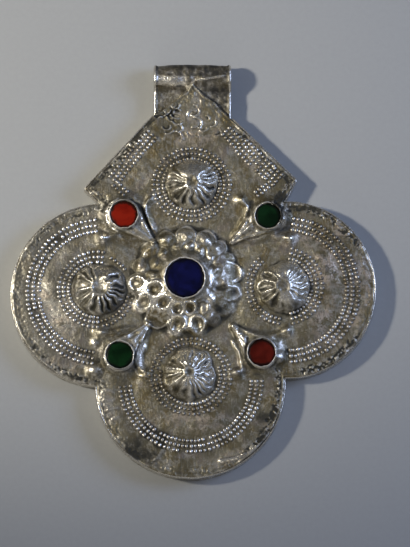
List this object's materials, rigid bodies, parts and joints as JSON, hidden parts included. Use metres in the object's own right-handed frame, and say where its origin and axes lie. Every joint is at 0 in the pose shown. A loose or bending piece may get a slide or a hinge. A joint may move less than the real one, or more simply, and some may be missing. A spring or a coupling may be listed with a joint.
{
  "type": "silver amulet pendant with glass stones",
  "caption": "Flat hollow silver amulet pendant with round lobes and a pointed top, raised bosses, a flower, set glass stones and a folded strip bail.",
  "frame": {"origin": "on the flat back face, midway across the two side lobes and midway between the bottom lobe's edge and the top of the bail", "axes": "+Z out of the front, +Y towards the bail, +X to the right as the front is seen"},
  "size_m": [0.0904, 0.1034, 0.0093],
  "materials": {
    "worked_silver": "old silver sheet, worn bright on the raised work and tarnished grey-brown between",
    "plain_silver": "plain tarnished silver sheet with scratches",
    "bail_silver": "folded silver strip, dark in the fold and worn bright along its hems",
    "blue_glass": "flat deep blue glass, glossy",
    "red_glass": "flat orange-red glass, glossy",
    "green_glass": "flat dark green glass, glossy"
  },
  "bodies": {
    "root": {"front_plate": "worked_silver", "back_plate": "plain_silver", "bail": "bail_silver", "stone_centre": "blue_glass", "stone_top_left": "red_glass", "stone_top_right": "green_glass", "stone_bottom_left": "green_glass", "stone_bottom_right": "red_glass"}
  },
  "joints": []
}
